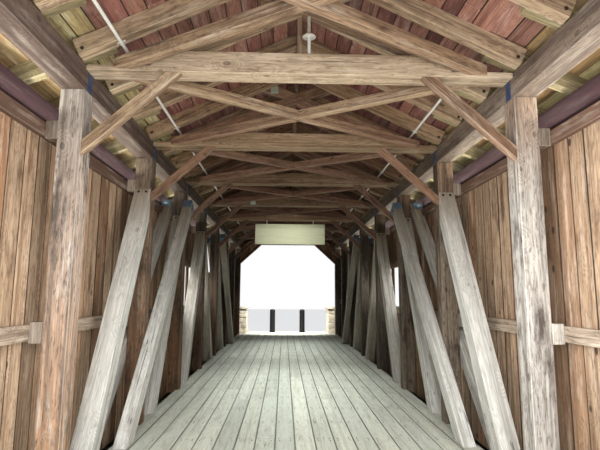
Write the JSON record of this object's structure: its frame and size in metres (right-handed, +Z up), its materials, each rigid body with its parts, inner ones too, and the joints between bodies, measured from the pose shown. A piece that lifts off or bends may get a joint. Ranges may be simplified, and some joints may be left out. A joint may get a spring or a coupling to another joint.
{
  "type": "covered bridge",
  "caption": "Covered timber truss road bridge with boarded side walls, a shingled gable roof, window openings, plank deck and stone abutments.",
  "frame": {"origin": "centre of the footprint at ground level", "axes": "+Y along the bridge in the direction the picture looks, +X to the right, +Z up"},
  "size_m": [5.8, 20.201, 7.7331],
  "materials": {
    "stone": "coursed beige stone",
    "bollard_iron": "black paint",
    "grey_timber": "weathered grey-brown timber with checks",
    "deck_planks": "grey-green worn planks",
    "post_timber": "sawn grey-brown timber",
    "pale_timber": "silvery weathered timber",
    "pale_steel": "dull galvanised",
    "blue_steel": "blue paint",
    "tan_timber": "sawn tan timber",
    "rafter_timber": "sawn olive-brown timber",
    "tail_timber": "sawn olive timber",
    "roof_boards": "red-brown and olive boards",
    "shingle_wood": "weathered wood shingles",
    "eave_paint": "dark purple-brown paint",
    "siding_boards": "rough brown boards with knots",
    "pipe_plastic": "off-white",
    "sign_paint": "pale cream-green paint"
  },
  "bodies": {
    "root": {"abutment_near": "stone", "abutment_far": "stone", "parapets": "stone", "bollards": "bollard_iron", "bed_timbers": "grey_timber", "bottom_chords": "grey_timber", "floor_beams": "grey_timber", "deck": "deck_planks", "posts": "post_timber", "diagonals": "pale_timber", "long_diagonals": "pale_timber", "steel_shoes": "pale_steel", "steel_straps": "blue_steel", "top_chords": "grey_timber", "tie_beams": "tan_timber", "knee_braces": "tan_timber", "lateral_braces_a": "tan_timber", "lateral_braces_b": "tan_timber", "scissors_right": "tan_timber", "scissors_left": "tan_timber", "king_posts": "tan_timber", "ridge_board": "grey_timber", "rafters": "rafter_timber", "rafter_tails": "tail_timber", "roof_boards": "roof_boards", "shingles": "shingle_wood", "ridge_cap": "shingle_wood", "eave_boards": "eave_paint", "frieze_boards": "eave_paint", "girt_blocks": "pale_timber", "girts": "grey_timber", "window_rails": "grey_timber", "siding_right": "siding_boards", "siding_left": "siding_boards", "gable_near": "siding_boards", "gable_far": "siding_boards", "conduits": "pipe_plastic", "lamp_drop": "pipe_plastic", "sign_board": "sign_paint"}
  },
  "joints": []
}
